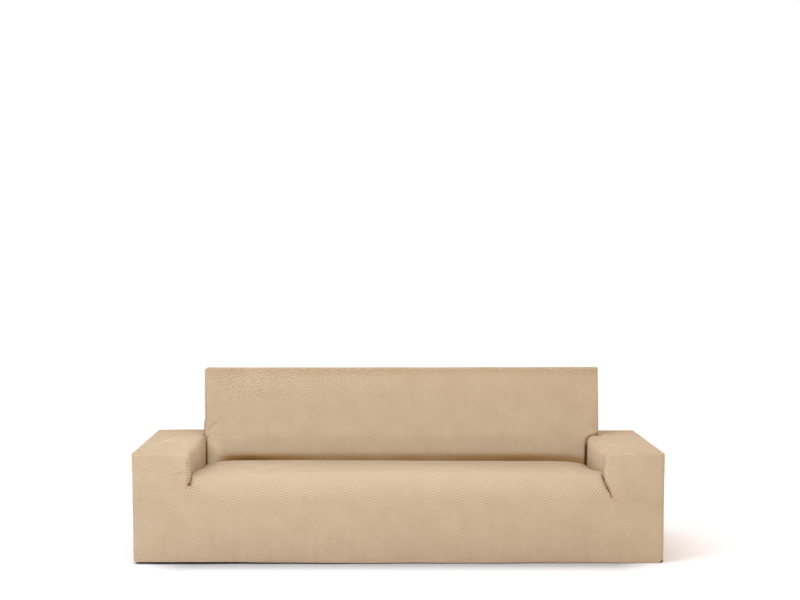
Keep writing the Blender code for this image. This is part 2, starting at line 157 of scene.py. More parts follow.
arm = {
    "inner": 0.944,
    "top": 0.5,
    "innerRound": 0.028,
    "outerRound": 0.01,
    "frontRound": 0.018,
    "rearRound": 0.018,
    "rearCornerGap": 0.0006,
    "leftRise": (0.0045, 0.008),  # at the front and at the rear
    "rearFoot": 0.37,  # the height at which the inner face ends under the back
    "measuredFrom": 0.4,  # and the one from which its cloth is measured
    "frontRows": 40,
    "columns": 30,
    "skirtRows": 26,
    "depthRows": 64,
    "rearRows": 14,
    "bottomSpread": 1.25,  # above 1, the columns and rows stand closer together at the start
    "depthSpread": 1.15,
}


def armPath(innerEnd, outerEnd, inset, innerSteps, outerSteps):  # up the inner face, over and down
    corners = [
        (arm["inner"], innerEnd),
        (arm["inner"], arm["top"]),
        (cover["halfWidth"], arm["top"]),
        (cover["halfWidth"], outerEnd),
    ]
    radii = [0.0, arm["innerRound"], arm["outerRound"], 0.0]
    steps = [innerSteps, arm["columns"], outerSteps]
    if outerEnd > cover["hemHeight"]:
        corners.append((cover["halfWidth"], cover["hemHeight"]))
        radii.append(0.0)
        steps.append(arm["skirtRows"])
    return roundedPath(corners, radii, inset, steps)


def armTopHeight(y):
    rear = np.clip(y - (cover["depth"] - arm["rearRound"]), 0.0, arm["rearRound"])
    return arm["top"] - (arm["rearRound"] - np.sqrt(arm["rearRound"] ** 2 - rear**2))


# The back

back = {
    "halfWidth": 0.976,
    "faceY": 0.683,
    "lean": 0.11,
    "topFront": 0.836,
    "topRear": 0.812,
    "topRound": 0.012,
    "rearRound": 0.024,
    "sideRound": 0.009,
    "bottomRoundHeight": 0.44,
    "bottomRoundDepth": 0.02,
    "roundReach": 0.83,
    "flatterEnds": 0.9,
    "groove": 0.007,
    "grooveReach": 0.9,
    "grooveTop": 0.425,
    "shift": 0.0265,
    "slideReach": 0.16,
    "tighten": 0.65,  # how far its rounded sides give way to the arms, from this height up
    "tightFrom": 0.455,
    "bottomSteps": 10,
    "lowRow": 0.456,
    "faceRows": 44,
    "topRows": 12,
    "sideRows": 24,
    "rearRows": 30,
}


def backFaceY(z):
    return back["faceY"] + back["lean"] * (z - arm["top"])


def backHalfWidth(y):
    rear = np.clip(y - (cover["depth"] - back["sideRound"]), 0.0, back["sideRound"])
    return back["halfWidth"] - (back["sideRound"] - np.sqrt(back["sideRound"] ** 2 - rear**2))


def faceHalfWidth(z):
    radius = arm["innerRound"]
    rise = np.clip(z - (arm["top"] - radius), 0.0, radius)
    betweenArms = arm["inner"] + radius - np.sqrt(radius**2 - rise**2) - 2 * cover["seamGap"]
    return np.where(z > arm["top"], back["halfWidth"], betweenArms)


def backPath(start, end, inset, faceSteps, rearSteps):
    corners = [
        (backFaceY(start), start),
        (backFaceY(back["topFront"]), back["topFront"]),
        (cover["depth"], back["topRear"]),
        (cover["depth"], end),
    ]
    radii = [0.0, back["topRound"], back["rearRound"], 0.0]
    return roundedPath(corners, radii, inset, [faceSteps, back["topRows"], rearSteps])


# The seat

seat = {
    "crest": 0.398,
    "crown": 0.009,
    "rollStart": 0.282,
    "rollDepth": 0.105,
    "rollDepthAtArm": 0.06,
    "rear": 0.386,
    "rearY": 0.65,
    "cornerDrop": 0.024,
    "tuckRollY": 0.684,
    "tuckRollDepth": 0.02,
    "tuckY": 0.69,
    "tuckDepth": 0.035,
    "slits": {"left": 0.357, "right": 0.292},
    "slitFade": 0.035,
    # how far from the arms each of these reaches
    "slitReach": 0.055,
    "dimpleReach": 0.016,
    "cornerReach": 0.05,
    "rollReach": 0.08,
    "columns": 190,
    "rollRows": 18,
    "topRows": 34,
    "tuckRows": 7,
    "skirtRows": 42,
    "columnSpread": 0.12,  # brings the columns closer together beside the arms
    "skirtSpread": 1.35,  # and the rows near the top
}


def seatFade(x, reach):  # 1 beside an arm, falling to 0
    return np.exp(-np.maximum(arm["inner"] - np.abs(x), 0.0) / reach)


def seatColumns():
    t = np.linspace(-1.0, 1.0, seat["columns"] + 1)
    return arm["inner"] * (t + seat["columnSpread"] * np.sin(np.pi * t))


def skirtTop(x):
    end = np.where(x < 0.0, seat["slits"]["left"], seat["slits"]["right"])
    return seat["rollStart"] + (end - seat["rollStart"]) * seatFade(x, seat["slitReach"])


def dimple(x):  # how far the cloth is drawn in at the foot of a slit
    inside = seatFade(x, seat["dimpleReach"])
    outside = np.clip((np.abs(x) - arm["inner"]) / arm["frontRound"], 0.0, 1.0)
    return arm["frontRound"] * inside * (1.0 - np.sqrt(1.0 - (1.0 - outside) ** 2))


def seatCrest(x):
    return seat["crest"] + seat["crown"] * (1.0 - (x / arm["inner"]) ** 2)


def seatRear(x):
    return seat["rear"] - seat["cornerDrop"] * seatFade(x, seat["cornerReach"])


def seatPatch(x):  # the roll, the top and the tuck, as rows across the seat
    flatX = x
    startY, startZ = dimple(x), skirtTop(x)
    crestZ, rearZ = seatCrest(x), seatRear(x)
    atArm = seatFade(x, seat["rollReach"])
    rollY = seat["rollDepth"] + (seat["rollDepthAtArm"] - seat["rollDepth"]) * atArm
    rows = [points(x, startY, startZ)]
    x = x * (1.0 - 2 * cover["seamGap"] / arm["inner"])
    for angle in np.linspace(0.0, np.pi / 2, seat["rollRows"] + 1)[1:]:
        y = startY + (rollY - startY) * (1.0 - np.cos(angle))
        rows.append(points(x, y, startZ + (crestZ - startZ) * np.sin(angle)))
    for t in np.linspace(0.0, 1.0, seat["topRows"] + 1)[1:]:
        z = crestZ + (rearZ - crestZ) * smooth(t)
        rows.append(points(x, rollY + (seat["rearY"] - rollY) * t, z))
    for angle in np.linspace(0.0, np.pi / 2, seat["tuckRows"] + 1)[1:]:
        y = seat["rearY"] + (seat["tuckRollY"] - seat["rearY"]) * np.sin(angle)
        rows.append(points(x, y, rearZ - seat["tuckRollDepth"] * (1.0 - np.cos(angle))))
    rows.append(points(x, seat["tuckY"], rearZ - seat["tuckDepth"]))
    rows = np.array(rows)
    cloth = points(flatX[None, :], startZ[None, :] + lengthsAlong(rows))
    return rows, cloth


# How the cloth gives. One field moves every panel, so that the seams stay together.

nearHem = ("z", cover["hemHeight"] + 0.16, -0.16)
slack = {
    "sideways": {
        "rightDart": {
            "by": 0.032,
            "fades": [("z", 0.372, -0.08), ("z", 0.1, 0.12), ("y", 0.12, -0.12)],
            "bumps": [("x", arm["inner"], 0.1)],
        },
        "rightPull": {
            "by": -0.008,
            "fades": [("y", 0.1, -0.07)],
            "bumps": [("z", 0.405, 0.024), ("x", arm["inner"], 0.03)],
        },
        "backLeftEdge": {"by": 0.0055, "fades": [("x", -0.9, -0.07), ("z", 0.53, 0.04)]},
        "arms": {"by": 0.0025, "fades": [("out", 0.95, 0.2)]},
    },
    "backward": {
        "bowedBack": {
            "by": -0.012,
            "fades": [
                ("y", 0.8, -0.08), ("y", 0.6, 0.05), ("z", 0.42, 0.1), ("z", 0.83, -0.12),
                ("out", 0.97, -0.3),
            ],
        },
        "skirtWaves": {
            "fades": [nearHem, ("y", 0.22, -0.2), ("out", 1.17, -0.08)],
            "waves": [(0.0024, (9.0, 0.0, 0.0), 1.1), (0.0016, (23.0, 0.0, 0.0), 0.0)],
        },
    },
    "upward": {
        "seat": {
            "by": 0.003,
            "fades": [
                ("y", 0.64, -0.1), ("y", 0.1, 0.1), ("out", 0.93, -0.1), ("z", 0.32, 0.04),
            ],
            "waves": [(1.0, (7.1, 0.0, 0.0), 0.6)],
        },
        "armTops": {
            "by": 0.005,
            "fades": [("z", 0.47, 0.03), ("y", -0.04, 0.2), ("y", 0.96, -0.2)],
            "bumps": [("out", 1.075, 0.075)],
        },
        "hem": {"by": 0.001, "fades": [nearHem]},
        "hemDips": {
            "fades": [nearHem],
            "waves": [(0.0007, (4.1, 0.0, 0.0), -0.5), (0.0006, (3.0, 11.0, 0.0), 0.0)],
        },
        "hemSlope": {"by": -0.0085, "fades": [nearHem, ("x", -1.1, 1.7)]},
        "turnedCorner": {  # the two fades along x make it sharper
            "by": 0.018,
            "fades": [
                ("x", 1.18, 0.033), ("x", 1.18, 0.033), ("y", 0.03, -0.03), ("z", 0.05, -0.05),
            ],
        },
        "seatSlope": {  # towards the right the seat lies a little lower at the back
            "by": -0.008,
            "fades": [
                ("x", -0.9, 1.8), ("y", 0.1, 0.3), ("y", 0.8, -0.06), ("z", 0.52, -0.1),
                ("x", 0.99, -0.03),
            ],
        },
        "backRise": {"by": 0.0035, "fades": [("z", 0.6, 0.2)]},
    },
    "rightSlit": {  # it gets shallower towards its foot
        "by": -0.6, "fades": [("z", 0.345, -0.03)], "bumps": [("x", arm["inner"], 0.045)],
    },
    "slitDepth": 0.024,
    "leftArm": {"fades": [("x", -0.88, -0.06), ("z", 0.36, 0.13), ("z", 0.62, -0.11)]},
    "cornerFolds": {  # folds drawn from the lower corners of the back
        "by": 0.007,
        "fades": [("y", 0.78, -0.06), ("y", 0.6, 0.05)],
        "bumps": [("out", 0.955, 0.06), ("z", 0.545, 0.06)],
    },
    "foldFoot": (0.97, 0.5),
    "foldSlope": 0.9,
    "foldPlace": (0.012, 0.014),  # how far off the line through its foot, and how wide
    "besideBack": {"fades": [("y", 0.3, 0.35), ("y", 0.905, -0.14)]},
    "freeX": {"fades": [("out", 1.16, -0.16)]},
    "freeZ": {"fades": [("out", 0.93, 0.04), ("z", arm["top"] + 0.1, -0.1)]},
    "toRight": {"fades": [("x", -0.9, 1.8)]},
    "clearOfTop": {"fades": [("z", arm["top"] - 0.006, 0.03)]},
    "clearHeight": 0.03,
    "restingOn": (0.0095, 0.008),  # cloth this near an arm rests on it, and over what length
    # nowhere is stretched cloth quite even: two waves for each direction, multiplied
    "wander": [
        [(0.0007, (0.0, 13.0, 17.0), 0.0), (1.0, (0.0, 3.0, 5.0), 1.0)],
        [(0.0007, (11.0, 0.0, 9.0), 0.7), (1.0, (-4.0, 0.0, 19.0), 0.0)],
        [(0.0007, (8.0, -12.0, 0.0), 0.0), (1.0, (6.0, 15.0, 0.0), 2.0)],
    ],
}


def shiftBack(p):  # beside the back the cloth slides round an arm's edge and along its top
    x, z = p[..., 0], p[..., 2]
    sign, out = np.where(x < 0.0, -1.0, 1.0), np.abs(x)
    radius = arm["innerRound"]
    centreX, centreZ = arm["inner"] + radius, arm["top"] - radius
    quarter = radius * np.pi / 2
    endX = back["halfWidth"] + sign * back["shift"]
    endAngle = np.arccos(np.clip((centreX - endX) / radius, 0.0, 1.0))
    start = quarter + back["halfWidth"] - centreX
    end = radius * endAngle + np.maximum(endX - centreX, 0.0)
    inside, rise = np.maximum(centreX - out, 0.0), np.maximum(z - centreZ, 0.0)
    along = np.where(inside > 0.0, radius * np.arctan2(rise, inside), quarter + out - centreX)
    above = np.hypot(inside, rise)
    fading = smooth((start + back["slideReach"] - along) / back["slideReach"])
    near = act(p, slack["besideBack"])
    slid = along + (end - start) * np.where(along < start, along / start, fading) * near
    angles = [np.clip(place / radius, 0.0, np.pi / 2) for place in (along, slid)]
    tops = [np.maximum(place - quarter, 0.0) for place in (along, slid)]
    slideX = above * (np.cos(angles[0]) - np.cos(angles[1])) + tops[1] - tops[0]
    slideZ = above * (np.sin(angles[1]) - np.sin(angles[0]))
    # cloth that is clear of the arms moves sideways, and keeps off the edge it moves towards
    rounded = 1.0 - np.sqrt(1.0 - np.clip(rise / radius, 0.0, 1.0) ** 2)
    free = rounded + (act(p, slack["clearOfTop"]) - rounded) * act(p, slack["toRight"])
    freeX = sign * back["shift"] * free * act(p, slack["freeX"]) * near
    drop = radius * (np.sin(endAngle) - 1.0) * smooth(rise / slack["clearHeight"])
    freeZ = drop * act(p, slack["freeZ"]) * near
    reach, over = slack["restingOn"]
    resting = smooth((reach - (above - radius)) / over)
    moveX = sign * (slideX * resting + freeX * (1.0 - resting))
    return moveX, slideZ * resting + freeZ * (1.0 - resting)


def settle(p):
    x, y, z = p[..., 0], p[..., 1], p[..., 2]
    ways = [slack["sideways"], slack["backward"], slack["upward"]]
    moveX, moveY, moveZ = [sum(act(p, effect) for effect in way.values()) for way in ways]
    moveY = moveY + act(p, slack["rightSlit"]) * np.clip(y, 0.0, slack["slitDepth"])
    footX, footZ = slack["foldFoot"]
    slant = (z - footZ) - slack["foldSlope"] * (footX - np.abs(x))
    moveY = moveY + act(p, slack["cornerFolds"]) * bump(slant, *slack["foldPlace"])
    shiftX, shiftZ = shiftBack(p)
    # the left arm stands a little higher
    leftRise = np.interp(y, (0.0, cover["depth"]), arm["leftRise"])
    moveZ = moveZ + shiftZ + act(p, slack["leftArm"]) * leftRise
    # the outer sides lean in a little towards the hem
    taper = cover["hemTaper"] * (1.0 - z / arm["top"]) * x / cover["halfWidth"]
    moveX = moveX + shiftX - taper * (z < arm["top"])
    wander = [act(p, {"waves": pair[:1]}) * act(p, {"waves": pair[1:]}) for pair in slack["wander"]]
    return p + points(moveX, moveY, moveZ) + points(*wander)


# Creases placed one by one. Each is a line of points on the cloth, the half width of its trough,
# which way and how far it is pressed, and how far its sides rise again beside it. Those with a
# number for painted shade also get browner painted shade along their trough, and "fade" is the
# share of its length over which its end runs out.

creases = {
    "leftArmPull": {
        "line": [(-1.035, 0.0, 0.397), (-0.99, 0.0, 0.408), (-0.955, 0.002, 0.42)],
        "width": 0.008, "push": (0.0, 0.004, -0.001), "ridge": 0.9,
    },
    "leftArmPullUpper": {
        "line": [(-1.02, 0.0, 0.425), (-0.985, 0.0, 0.43), (-0.955, 0.003, 0.442)],
        "width": 0.007, "push": (0.0, 0.0022, -0.0006), "ridge": 0.9,
    },
    "leftArmFaint": {
        "line": [(-1.186, 0.0, 0.414), (-1.12, 0.0, 0.418), (-1.07, 0.0, 0.412)],
        "width": 0.008, "push": (0.0, 0.0016, 0.0), "ridge": 0.7,
    },
    "leftArmUnder": {
        "line": [(-0.99, 0.0, 0.33), (-0.962, 0.0, 0.346), (-0.948, 0.006, 0.362)],
        "width": 0.009, "push": (0.0, 0.003, 0.0), "ridge": 0.8,
    },
    "leftSlit": {
        "line": [
            (-0.944, 0.03, 0.39), (-0.945, 0.014, 0.378), (-0.947, 0.008, 0.366),
            (-0.951, 0.004, 0.3553),
        ],
        "width": 0.005, "push": (0.0, 0.0035, 0.0), "ridge": 0.0, "paintedShade": 0.7,
    },
    "leftPucker": {
        "line": [(-0.95, 0.006, 0.36), (-0.9518, 0.004, 0.354)],
        "width": 0.0065, "push": (0.0, 0.012, 0.0), "ridge": 0.0, "paintedShade": 1.6,
    },
    "leftUnderSlit": {
        "line": [(-0.95, 0.004, 0.356), (-0.957, 0.0, 0.346), (-0.968, 0.0, 0.338)],
        "width": 0.0065, "push": (0.0, 0.0035, 0.0), "ridge": 0.8,
    },
    "leftArmTop": {
        "line": [(-1.19, 0.105, 0.5), (-1.11, 0.09, 0.505), (-1.01, 0.1, 0.505)],
        "width": 0.012, "push": (0.0, 0.0, -0.0022), "ridge": 0.6,
    },
    "rightDart": {
        "line": [
            (0.926, 0.045, 0.405), (0.937, 0.034, 0.386), (0.95, 0.02, 0.36),
            (0.959, 0.016, 0.334), (0.977, 0.012, 0.292), (0.995, 0.002, 0.28),
            (1.027, 0.0, 0.273),
        ],
        "width": 0.007, "push": (0.0, 0.01, 0.0), "ridge": 0.4, "paintedShade": 1.0, "fade": 0.75,
    },
    "rightArmTop": {
        "line": [
            (1.03, 0.12, 0.505), (1.09, 0.15, 0.505), (1.15, 0.19, 0.503),
            (1.195, 0.215, 0.497),
        ],
        "width": 0.012, "push": (0.0, 0.0, -0.0028), "ridge": 0.7,
    },
    "rightArmDash": {
        "line": [(0.958, 0.02, 0.493), (0.985, 0.02, 0.497)],
        "width": 0.007, "push": (0.0, 0.0015, -0.0025), "ridge": 0.6,
    },
    "rightArmInnerPull": {
        "line": [(0.944, 0.05, 0.43), (0.945, 0.022, 0.41), (0.952, 0.003, 0.395)],
        "width": 0.01, "push": (0.003, 0.002, 0.0), "ridge": 0.6,
    },
    "backLeftUpper": {
        "line": [(-0.945, 0.684, 0.628), (-0.915, 0.682, 0.606), (-0.88, 0.68, 0.58)],
        "width": 0.013, "push": (0.0, 0.0045, 0.0), "ridge": 0.8,
    },
    "backLeftLower": {
        "line": [(-0.945, 0.675, 0.52), (-0.91, 0.672, 0.508), (-0.865, 0.672, 0.5)],
        "width": 0.012, "push": (0.0, 0.005, 0.0), "ridge": 0.8,
    },
    "backRightUpper": {
        "line": [(0.985, 0.684, 0.56), (0.95, 0.682, 0.585), (0.915, 0.68, 0.598)],
        "width": 0.012, "push": (0.0, 0.004, 0.0), "ridge": 0.8,
    },
    "backRightLower": {
        "line": [(0.985, 0.675, 0.52), (0.955, 0.672, 0.545), (0.915, 0.672, 0.556)],
        "width": 0.012, "push": (0.0, 0.005, 0.0), "ridge": 0.8,
    },
}
creaseFade = 0.3
gathers = {
    "pitch": 0.0116,
    "slant": 0.15,
    "depth": 0.003,
    "reach": {
        "fades": [("y", 0.03, -0.02), ("z", 0.35, 0.01), ("z", 0.486, -0.01)],
        "bumps": [("x", -0.957, 0.009)],
    },
}


def nearLine(p, line):  # distance to a line of points, and how far along it the nearest place is
    line = np.array(line, float)
    run = lengthsAlong(line)
    nearest = np.full(p.shape[:-1], np.inf)
    place = np.zeros(p.shape[:-1])
    for i in range(len(line) - 1):
        along = line[i + 1] - line[i]
        t = np.clip((p - line[i]) @ along / (along @ along), 0.0, 1.0)
        away = np.linalg.norm(p - line[i] - t[..., None] * along, axis=-1)
        closer = away < nearest
        nearest = np.where(closer, away, nearest)
        place = np.where(closer, (run[i] + t * (run[i + 1] - run[i])) / run[-1], place)
    return nearest, place


def gathered(p):  # small gathers down the left arm's inner front edge
    turns = (p[..., 2] + gathers["slant"] * p[..., 0]) / gathers["pitch"]
    return act(p, gathers["reach"]) * np.sin(2.0 * np.pi * turns)


def crease(p):
    moved = p.copy()
    for fold in creases.values():
        away, place = nearLine(p, fold["line"])
        r2 = (away / fold["width"]) ** 2
        fade = fold.get("fade", creaseFade)
        ends = smooth((place + 0.02) / creaseFade) * smooth((1.02 - place) / fade)
        depth = (1.0 - fold["ridge"] * r2) * np.exp(-r2) * ends
        moved = moved + depth[..., None] * np.array(fold["push"])
    moved[..., 1] += gathers["depth"] * gathered(p)
    return moved


# The panels, each as patches of points, and beside them where each point lies in the flat cloth

def armFrontBottom():
    steps = arm["columns"] + edgeRound["cornerSteps"]
    start, stop = arm["inner"] + arm["frontRound"], cover["halfWidth"] - arm["frontRound"]
    return start + (stop - start) * np.linspace(0.0, 1.0, steps + 1) ** arm["bottomSpread"]


def skirtPatch(seatX):
    left = armFrontBottom()[::-1] * -1.0
    strip = arm["inner"] + roundRows(arm["frontRound"])[1:-2, 0]
    x = np.concatenate([left, -strip, seatX, strip[::-1], armFrontBottom()])
    top = skirtTop(x)
    rows = []
    for t in np.linspace(1.0, 0.0, seat["skirtRows"] + 1) ** seat["skirtSpread"]:
        z = top + (cover["hemHeight"] - top) * t
        y = dimple(x) * smooth(1.0 - (top - z) / seat["slitFade"]) ** 2
        rows.append(points(x, y, z))
    rows = np.array(rows)
    return rows, rows[..., [0, 2]]


def armFrontPatches(side):
    slit = seat["slits"][side]
    edges = roundRows(arm["frontRound"])
    run = lengthsAlong(edges)
    strip, stripCloth = [], []
    for (inset, setback), out in zip(edges, run):
        path = armPath(slit, slit, inset, arm["frontRows"], arm["frontRows"])
        flat = armPath(slit, slit, arm["frontRound"], arm["frontRows"], arm["frontRows"])
        outer = armPath(slit, slit, 0.0, arm["frontRows"], arm["frontRows"])
        away = (outer - flat) / arm["frontRound"]
        strip.append(points(path[:, 0], setback, path[:, 1]))
        stripCloth.append(flat + away * out)
    strip, stripCloth = np.array(strip), np.array(stripCloth)
    edge = strip[0]
    sidePoints = arm["frontRows"] + edgeRound["cornerSteps"] // 2 + 1
    topPoints = arm["columns"] + edgeRound["cornerSteps"] + 1
    inner = edge[:sidePoints]
    top = edge[sidePoints - 1 : sidePoints - 1 + topPoints]
    shoulder = sidePoints + topPoints - 2
    outer = edge[shoulder : shoulder + sidePoints][::-1]
    face = coons(points(armFrontBottom(), 0.0, slit), top, inner, outer)
    return (face, face[..., [0, 2]]), (strip, stripCloth)


def frontSeatPatches():
    seatX = seatColumns()
    patches = [skirtPatch(seatX), seatPatch(seatX)]
    for side, sign in sides.items():
        patches += [onSide(patch, sign) for patch in armFrontPatches(side)]
    return patches


def armPatches(side):
    middle = seatPatch(np.array([sides[side] * arm["inner"]]))[0][:, 0]
    frontY = arm["frontRound"] + edgeRound["flange"] + cover["seamGap"]
    innerSteps, outerSteps = arm["frontRows"] // 2, arm["frontRows"] // 2 + arm["skirtRows"]
    sideTuck = back["sideRound"] + edgeRound["flange"]
    rows = []
    for t in np.linspace(0.0, 1.0, arm["depthRows"] + 1) ** arm["depthSpread"]:
        lowY = frontY + (backFaceY(arm["rearFoot"]) + sideTuck - frontY) * t
        lowZ = np.interp(lowY, middle[:, 1], middle[:, 2]) + cover["seamGap"]
        path = armPath(lowZ, cover["hemHeight"], 0.0, innerSteps, outerSteps)
        x, z = path[:, 0], path[:, 1]
        onInside = x < 0.5 * (arm["inner"] + cover["halfWidth"])
        tuck = sideTuck * smooth((arm["top"] - 0.003 - z) / 0.05) * onInside
        face = np.where(onInside, backFaceY(z), back["faceY"])
        rows.append(points(x, frontY + (face + tuck - frontY) * t, z))
    front = np.array(rows)
    foot = arm["measuredFrom"]
    run = lengthsAlong(armPath(foot, cover["hemHeight"], 0.0, innerSteps, outerSteps))
    run = run - run[innerSteps]  # the cloth is measured from the foot of the inner rounding
    frontCloth = points(front[..., 1], -run[None, :])
    # beside the back the cloth starts at the foot of its end piece
    first = innerSteps + edgeRound["cornerSteps"]
    rearY = np.linspace(back["faceY"], cover["depth"] - arm["rearRound"], arm["rearRows"] + 1)
    rounding = roundRows(arm["rearRound"])[1:]
    depths = [(0.0, y) for y in rearY]
    depths += [(inset, cover["depth"] - setback) for setback, inset in rounding]
    rows = []
    for inset, y in depths:
        path = armPath(foot, cover["hemHeight"], inset, innerSteps, outerSteps)[first:]
        if y > back["faceY"]:
            gap = cover["seamGap"] if inset == 0.0 else arm["rearCornerGap"]
            path[0, 0] = backHalfWidth(y) + gap
        path[-1, 1] = cover["hemHeight"]
        rows.append(points(path[:, 0], y, path[:, 1]))
    rear = np.array(rows)
    inward = lengthsAlong(rear[:, -1] * [1.0, 0.0, 0.0])[:, None]
    rearCloth = points(rear[:, :1, 1] + inward, -run[None, first:])
    return [onSide((front, frontCloth), sides[side]), onSide((rear, rearCloth), sides[side])]


def backSection(x, inset):  # from the tuck up the face and over the top, as depth and height
    tuckZ = seatRear(x) - seat["tuckDepth"]
    angle = np.linspace(0.0, np.pi / 2, back["bottomSteps"] + 1)[:-1]
    height = back["bottomRoundHeight"]
    lowZ = height - (height - tuckZ) * np.cos(angle)
    flatter = back["flatterEnds"] * smooth((abs(x) - back["roundReach"]) / 0.08)
    depth = back["bottomRoundDepth"] * (1.0 - flatter)
    lowY = backFaceY(height) + depth * (1.0 - np.sin(angle))
    turn = np.linspace(0.0, np.pi / 2, edgeRound["cornerSteps"] + 1)
    besideRound = arm["top"] - arm["innerRound"] * (1.0 - np.sin(turn))
    topOfFace = back["topFront"] - 2 * back["topRound"]
    above = np.linspace(arm["top"] + 0.001, topOfFace, back["faceRows"] + 1)
    faceZ = np.concatenate([[height, back["lowRow"]], besideRound, above])
    face = points(backFaceY(faceZ) + inset, faceZ)
    end = back["topRear"] - back["rearRound"] - edgeRound["flange"]
    over = backPath(topOfFace, end, inset, 2, 1)
    section = np.concatenate([points(lowY + inset, lowZ), face[:-1], over])
    z = section[:, 1]
    groove = back["groove"] * smooth((back["grooveReach"] - abs(x)) / 0.08)
    section[:, 0] += groove * smooth((back["grooveTop"] - z) / 0.035) * smooth((z - tuckZ) / 0.02)
    return section


def backPatches():
    flat = seatColumns() / arm["inner"]
    edges = roundRows(back["sideRound"])
    run = lengthsAlong(edges)
    edges, run = edges[1:], run[1:]
    columns = [(-1.0, behind, inset, -out) for (behind, inset), out in zip(edges[::-1], run[::-1])]
    columns += [(t, back["sideRound"], 0.0, 0.0) for t in flat]
    columns += [(1.0, behind, inset, out) for (behind, inset), out in zip(edges, run)]
    up = lengthsAlong(backSection(0.0, 0.0))
    patch, cloth = [], []
    for t, behind, inset, out in columns:
        section = backSection(t * arm["inner"], inset)
        y, z = section[:, 0], section[:, 1]
        tight = back["tighten"] * smooth((z - back["tightFrom"]) / 0.015) * (z <= arm["top"])
        patch.append(points(t * (faceHalfWidth(z) - behind * (1.0 - tight)), y - inset * tight, z))
        face = points(t * (faceHalfWidth(z) - back["sideRound"]), backFaceY(z), z)
        cloth.append(points(settle(face)[:, 0] + out, up))  # the zigzags stay upright
    return [(np.array(patch).transpose(1, 0, 2), np.array(cloth).transpose(1, 0, 2))]


def backSidePatches(side):
    inset = back["sideRound"] + edgeRound["flange"] + cover["seamGap"]
    foot = arm["top"] + cover["seamGap"]
    path = backPath(foot, foot, inset, back["sideRows"], back["sideRows"])
    path[[0, -1], 1] = foot
    edge = points(back["halfWidth"], path[:, 0], path[:, 1])
    shoulder = back["sideRows"] + edgeRound["cornerSteps"] // 2
    top = edge[shoulder : len(edge) - shoulder]
    front, rear = edge[: shoulder + 1], edge[len(edge) - shoulder - 1 :][::-1]
    bottom = between(edge[:1], edge[-1:], len(top) - 1)[:, 0]
    shape = coons(bottom, top, front, rear)
    return [onSide((shape, shape[..., [1, 2]]), sides[side])]


def rearPatches():
    mirror = [-1.0, 1.0, 1.0]
    half = back["halfWidth"] - back["sideRound"]
    inset = arm["rearRound"] + edgeRound["flange"] + cover["seamGap"]
    rows = arm["frontRows"] // 2 + arm["skirtRows"]
    path = armPath(arm["measuredFrom"], cover["hemHeight"], inset, 2, rows)
    path = path[2 + edgeRound["cornerSteps"] :]
    path[0, 0] = half
    path[-1, 1] = cover["hemHeight"]
    shoulder = arm["columns"] + edgeRound["cornerSteps"] // 2
    side = points(path[shoulder:, 0], cover["depth"], path[shoulder:, 1])[::-1]
    armTop = points(path[: shoulder + 1, 0], cover["depth"], path[: shoulder + 1, 1])
    middle = between(armTop[:1], armTop[:1] * mirror, 4 * arm["columns"])[:, 0]
    top = np.concatenate([armTop[::-1], middle[1:-1], armTop * mirror])
    bottom = between(side[:1], side[:1] * mirror, len(top) - 1)[:, 0]
    lower = coons(bottom, top, side, side * mirror)

    edges = roundRows(back["sideRound"])[:0:-1]
    base = []
    for behind, setback in edges:
        y = cover["depth"] - setback
        base.append((back["halfWidth"] - behind, y, armTopHeight(y) + cover["seamGap"]))
    base = np.array(base)
    out = lengthsAlong(base * [1.0, 1.0, 0.0])
    out = half + out[-1] - out
    base = np.concatenate([base, middle, (base * mirror)[::-1]])
    across = np.concatenate([out, middle[:, 0], -out[::-1]])
    crown = base.copy()
    crown[:, 2] = back["topRear"] - back["rearRound"] - edgeRound["flange"] - cover["seamGap"]
    upper = between(base, crown, back["rearRows"])
    upperCloth = points(-across[None, :], upper[..., 2])
    return [(lower, lower[..., [0, 2]] * [-1.0, 1.0]), (upper, upperCloth)]


print("forms ready")


# The cloth: a stretch jacquard with rows of small zigzags, tone on tone

jacquard = {
    "ground": (0.428, 0.323, 0.215),
    "thread": (0.495, 0.387, 0.276),
    "shadow": (0.342, 0.248, 0.155),
    "zigzagWidth": 0.0535,
    "zigzagSlope": 0.9,
    "rowPitch": 0.0128,
    "rowSharpness": 1.4,
    "rowMiddle": 0.43,  # the mean height of the rows, between 0 and 1
    "rowDrift": 0.02,
    "driftNoise": {"Scale": 3.1, "Detail": 1.0, "Roughness": 0.5},
    "relief": {"Strength": 0.55, "Distance": 0.0011},
    "knitPitch": 0.0042,
    "knitRelief": {"Strength": 0.35, "Distance": 0.0003},
    # painted light and shade in the cloth's colour: plain at 0.2, paler painted light towards 0,
    # browner painted shade towards 1, for creases, corners and seams
    "paintedShadeTints": [
        (0.0, (1.19, 1.18, 1.16)), (1.0, (0.2, 0.12, 0.05)),
        (0.2, (1.0, 1.0, 1.0)), (0.6, (0.72, 0.55, 0.33)), (0.85, (0.48, 0.31, 0.11)),
    ],
    "groundAt": 0.45,
    "contrast": 1.25,
    "mottle": 0.1,
    "mottleNoise": {"Scale": 9.0, "Detail": 3.0, "Roughness": 0.6},
    "surface": {
        "Roughness": 0.86, "Specular IOR Level": 0.25,
        "Sheen Weight": 0.05, "Sheen Roughness": 0.45, "Sheen Tint": (1.0, 0.96, 0.9, 1.0),
    },
}


def addNode(nodes, kind, inputs=None, **settings):
    node = nodes.new(kind)
    for name, value in settings.items():
        setattr(node, name, value)
    for key, value in (inputs or {}).items():
        node.inputs[key].default_value = value
    return node


def colourRamp(nodes, shades):  # the first two shades are its ends
    ramp = addNode(nodes, "ShaderNodeValToRGB")
    stops = ramp.color_ramp.elements
    ends = list(stops)
    for place, colour in shades:
        stop = ends.pop(0) if ends else stops.new(place)
        stop.position, stop.color = place, (*colour, 1.0)
    return ramp


